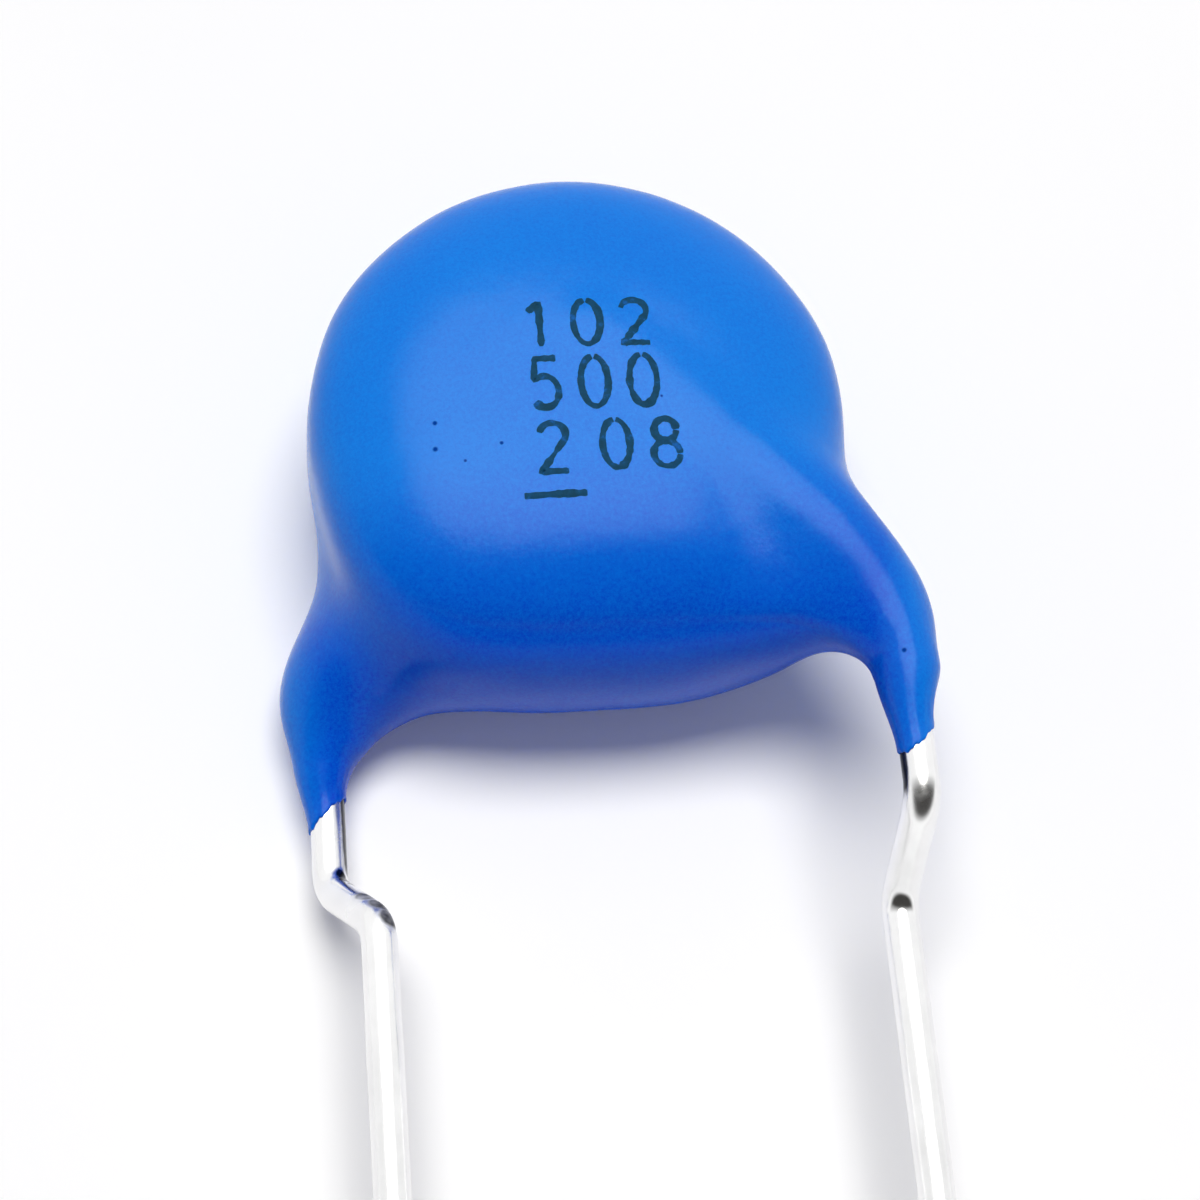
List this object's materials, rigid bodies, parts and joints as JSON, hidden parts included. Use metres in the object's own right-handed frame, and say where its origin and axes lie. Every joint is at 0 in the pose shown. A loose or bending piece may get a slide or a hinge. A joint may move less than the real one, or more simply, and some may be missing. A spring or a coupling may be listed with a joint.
{
  "type": "ceramic disc capacitor",
  "caption": "Radial high-voltage ceramic disc capacitor: a dip-coated disc on kinked, tinned wire leads that hold it above a circuit board.",
  "frame": {"origin": "midway between the two leads, at the height where both are straight below their kinks", "axes": "+X from the back face's lead to the front face's lead, +Y from the leads' free ends to the disc, +Z out of the front face, which bears the marking"},
  "size_m": [0.0127, 0.0411, 0.0058],
  "materials": {
    "epoxy": "satin",
    "tinned_wire": "satin",
    "dielectric": "matte",
    "silver_layer": "matte",
    "solder": "satin"
  },
  "bodies": {
    "root": {"coating": "epoxy", "ceramic_disc": "dielectric", "electrode_front": "silver_layer", "electrode_back": "silver_layer", "lead_front": "tinned_wire", "lead_back": "tinned_wire", "solder_front": "solder", "solder_back": "solder"}
  },
  "joints": []
}
